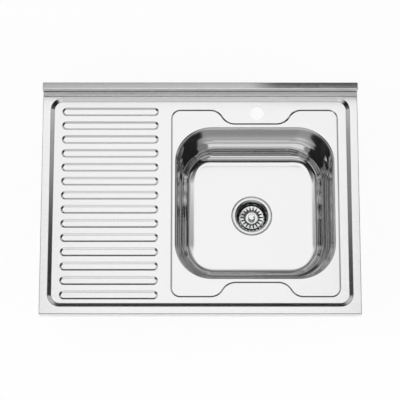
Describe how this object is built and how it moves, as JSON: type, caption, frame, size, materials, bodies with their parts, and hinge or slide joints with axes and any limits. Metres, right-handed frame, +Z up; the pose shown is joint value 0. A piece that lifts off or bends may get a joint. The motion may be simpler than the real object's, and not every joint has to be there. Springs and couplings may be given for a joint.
{
  "type": "lay-on kitchen sink",
  "caption": "Lay-on stainless kitchen sink with a grooved drainer on the left, a square bowl on the right, a rear upstand, a tap hole and a lift-out basket-strainer waste.",
  "frame": {"origin": "middle of the base cabinet's top, in the plane on which the sink's return flange lies", "axes": "+X to the right along the sink's length, from the drainer to the bowl, +Y towards the wall, +Z up"},
  "size_m": [0.8, 0.6, 0.2812],
  "materials": {
    "top_steel": "satin pressed stainless sheet",
    "bowl_steel": "polished drawn stainless sheet",
    "strainer_steel": "polished stainless",
    "knob_chrome": "bright chrome plate",
    "bolt_steel": "turned stainless",
    "nut_brass": "turned brass",
    "bracket_zinc": "zinc-plated steel",
    "seal_rubber": "soft black rubber",
    "pad_bitumen": "dull damping mat",
    "waste_plastic": "white moulded polypropylene",
    "hub_plastic": "black moulded polypropylene"
  },
  "bodies": {
    "sink": {"sink_top": "top_steel", "bowl": "bowl_steel", "drainer_pad": "pad_bitumen", "bowl_pad": "pad_bitumen", "strainer_cup": "strainer_steel", "flange_seal": "seal_rubber", "bowl_seal": "seal_rubber", "waste_body": "waste_plastic", "insert_nut": "nut_brass", "fixing_bolt": "bolt_steel", "bracket_front_left": "bracket_zinc", "bracket_front_right": "bracket_zinc", "bracket_rear_left": "bracket_zinc", "bracket_rear_right": "bracket_zinc", "bracket_screws": "bracket_zinc"},
    "catch": {"stem_catch": "bolt_steel"},
    "basket": {"basket_dish": "strainer_steel", "stopper_hub": "hub_plastic", "stopper_seal": "seal_rubber", "basket_stem": "bolt_steel", "basket_knob": "knob_chrome"}
  },
  "joints": [
    {"name": "basket_lift", "type": "slide", "parent": "sink", "child": "catch", "axis": [0, 0, 1], "range_m": [0, 0.25]},
    {"name": "basket_turn", "type": "hinge", "parent": "catch", "child": "basket", "pos_m": [0.133, 0.0015, -0.158], "axis": [0, 0, 1], "continuous": true}
  ]
}
